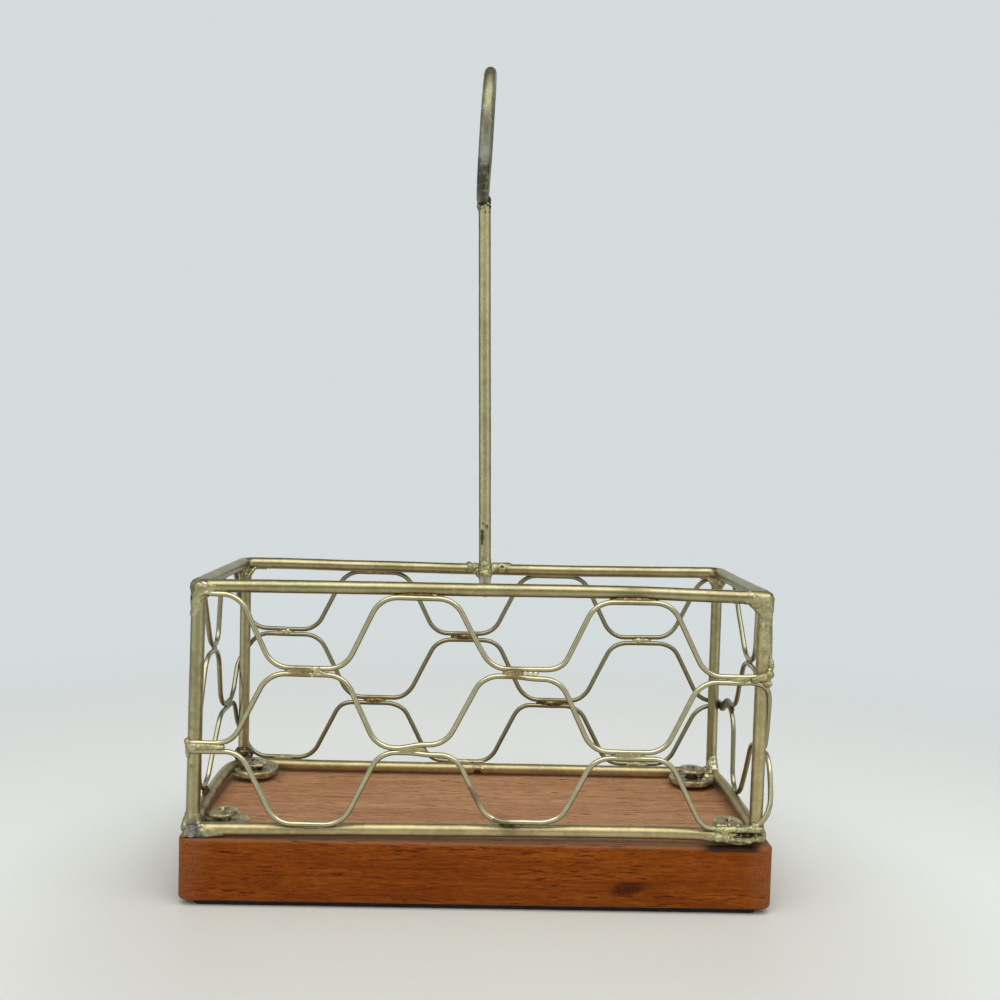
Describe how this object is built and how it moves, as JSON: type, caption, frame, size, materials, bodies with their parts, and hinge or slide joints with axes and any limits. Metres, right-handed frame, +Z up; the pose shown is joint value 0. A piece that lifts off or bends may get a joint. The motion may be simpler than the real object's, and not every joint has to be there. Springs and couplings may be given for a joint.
{
  "type": "condiment caddy",
  "caption": "Tabletop condiment caddy: an open basket of bent rods and honeycomb wires on a wooden board, carried by an upright post with a finger ring.",
  "frame": {"origin": "on the table plane, under the middle of the board", "axes": "+Z up along the handle, +X along the board's length to the right as seen from the front, -Y towards the front"},
  "size_m": [0.1904, 0.0778, 0.2779],
  "materials": {
    "felt": "thin dark felt",
    "board_wood": "reddish brown hardwood with a low satin finish",
    "rod_paint": "old gold metallic paint on steel rod, worn in places",
    "wire_paint": "old gold metallic paint on thin steel wire",
    "fastener_paint": "old gold metallic paint on steel washers and screws"
  },
  "bodies": {
    "root": {"felt_pad": "felt", "base_board": "board_wood", "lower_rail_frame": "rod_paint", "upper_rail_frame": "rod_paint", "post_front_left": "rod_paint", "post_front_right": "rod_paint", "post_back_left": "rod_paint", "post_back_right": "rod_paint", "crossbar": "rod_paint", "handle_post": "rod_paint", "handle_ring": "rod_paint", "upper_wire_front": "wire_paint", "upper_wire_right": "wire_paint", "upper_wire_back": "wire_paint", "upper_wire_left": "wire_paint", "middle_wire_front": "wire_paint", "middle_wire_right": "wire_paint", "middle_wire_back": "wire_paint", "middle_wire_left": "wire_paint", "lower_wire_front": "wire_paint", "lower_wire_right": "wire_paint", "lower_wire_back": "wire_paint", "lower_wire_left": "wire_paint", "washer_front_left": "fastener_paint", "washer_front_right": "fastener_paint", "washer_back_left": "fastener_paint", "washer_back_right": "fastener_paint", "screw_front_left": "fastener_paint", "screw_front_right": "fastener_paint", "screw_back_left": "fastener_paint", "screw_back_right": "fastener_paint"}
  },
  "joints": []
}
